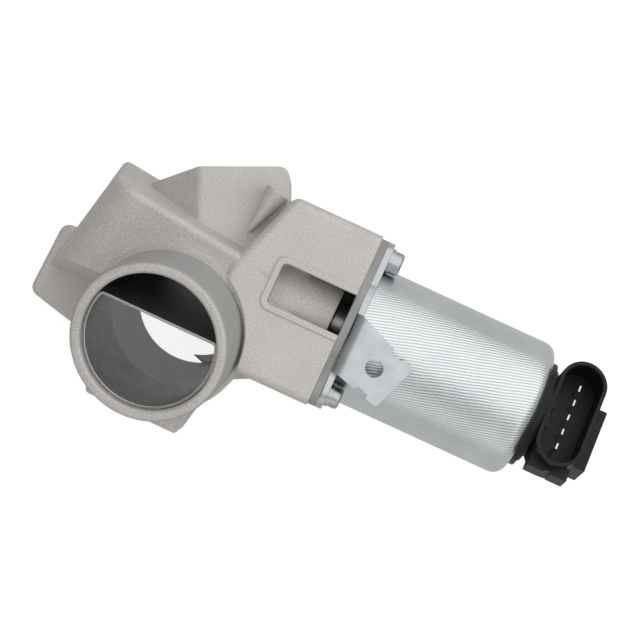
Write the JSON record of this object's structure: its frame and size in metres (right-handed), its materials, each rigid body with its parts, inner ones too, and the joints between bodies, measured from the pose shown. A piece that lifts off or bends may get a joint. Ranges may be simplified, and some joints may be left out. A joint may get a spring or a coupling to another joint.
{
  "type": "exhaust gas recirculation valve",
  "caption": "Cast duct housing with a round hose spigot and a solenoid-driven poppet valve that feeds exhaust gas into the intake air, with a plug-in connector.",
  "frame": {"origin": "centre of the air passage on the flat face of the mounting flange", "axes": "+X along the valve stem towards the connector, +Y across the flange towards the exhaust inlet, +Z out of the flange towards the hose spigot"},
  "size_m": [0.2209, 0.1076, 0.0882],
  "materials": {
    "casting": "shot-blasted casting",
    "sheet": "bare stainless sheet",
    "zinc": "bright zinc plate, drawn",
    "zinc_plate": "bright blue zinc plate",
    "screw": "zinc-plated screw",
    "board": "heat-resistant board",
    "plastic": "moulded black",
    "terminal": "tin-plated blade",
    "steel": "turned",
    "iron": "turned soft iron",
    "bronze": "sintered",
    "copper": "enamelled winding",
    "rubber": "matt",
    "track": "printed board"
  },
  "bodies": {
    "body": {"housing": "casting", "air_sleeve": "sheet", "valve_seat": "steel", "guide_bush": "bronze", "insulating_gasket": "board", "mounting_bracket": "zinc_plate", "actuator_screws": "screw", "pole_plate": "iron", "stem_bush": "bronze", "stem_seal": "rubber", "solenoid_can": "zinc", "armature_sleeve": "sheet", "coil_bobbin": "plastic", "coil_winding": "copper", "flux_plate": "iron", "pole_core": "iron", "return_spring": "steel", "connector_cap": "plastic", "terminal_pins": "terminal", "cap_seal": "rubber", "sensor_board": "track", "sensor_spring": "steel"},
    "valve": {"valve_stem": "steel", "armature": "iron", "sensor_wiper": "terminal", "sensor_plunger": "plastic"}
  },
  "joints": [
    {"name": "valve_lift", "type": "slide", "parent": "body", "child": "valve", "axis": [1, 0, 0], "range_m": [0, 0.005], "stiffness_N_per_m": 2000, "springref_m": -0.006, "deforming": ["return_spring", "sensor_spring"]}
  ]
}
